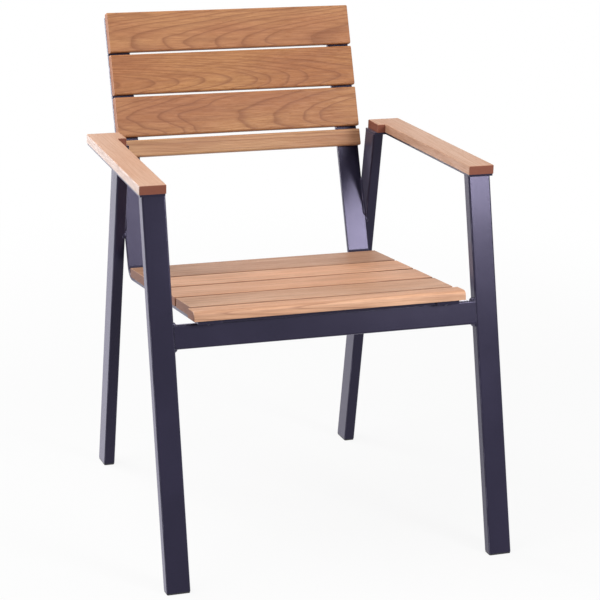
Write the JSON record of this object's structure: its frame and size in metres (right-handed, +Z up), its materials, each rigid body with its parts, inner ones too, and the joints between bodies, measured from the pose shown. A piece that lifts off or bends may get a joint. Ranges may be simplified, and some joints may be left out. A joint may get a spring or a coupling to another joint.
{
  "type": "garden armchair",
  "caption": "Garden armchair with a dark powder-coated tube frame, wooden back and seat slats and flat wooden armrests.",
  "frame": {"origin": "on the floor, under the middle of the chair's box", "axes": "+Z up, the chair faces -Y, +X at the right of someone who looks at its front"},
  "size_m": [0.6178, 0.6689, 0.8307],
  "materials": {
    "frame_coat": "dark anthracite powder coat, satin",
    "seat_wood": "oiled, straight grain",
    "back_wood": "oiled, arched grain",
    "arm_wood": "oiled, straight grain",
    "glide_plastic": "moulded, matte",
    "screw_steel": "stainless, bright"
  },
  "bodies": {
    "root": {"arm_plate_left": "frame_coat", "arm_plate_right": "frame_coat", "armrest_left": "arm_wood", "armrest_right": "arm_wood", "armrest_screws": "screw_steel", "back_slat_1": "back_wood", "back_slat_2": "back_wood", "back_slat_3": "back_wood", "back_slat_4": "back_wood", "back_slat_screws": "screw_steel", "foot_glide_front_left": "glide_plastic", "foot_glide_front_right": "glide_plastic", "foot_glide_rear_left": "glide_plastic", "foot_glide_rear_right": "glide_plastic", "front_leg_left": "frame_coat", "front_leg_right": "frame_coat", "front_stretcher": "frame_coat", "rear_leg_left": "frame_coat", "rear_leg_right": "frame_coat", "seat_back_rail_left": "frame_coat", "seat_back_rail_right": "frame_coat", "seat_cross_bar": "frame_coat", "seat_slat_1": "seat_wood", "seat_slat_2": "seat_wood", "seat_slat_3": "seat_wood", "seat_slat_4": "seat_wood", "seat_slat_5": "seat_wood", "seat_slat_screws": "screw_steel", "weld_beads": "frame_coat"}
  },
  "joints": []
}
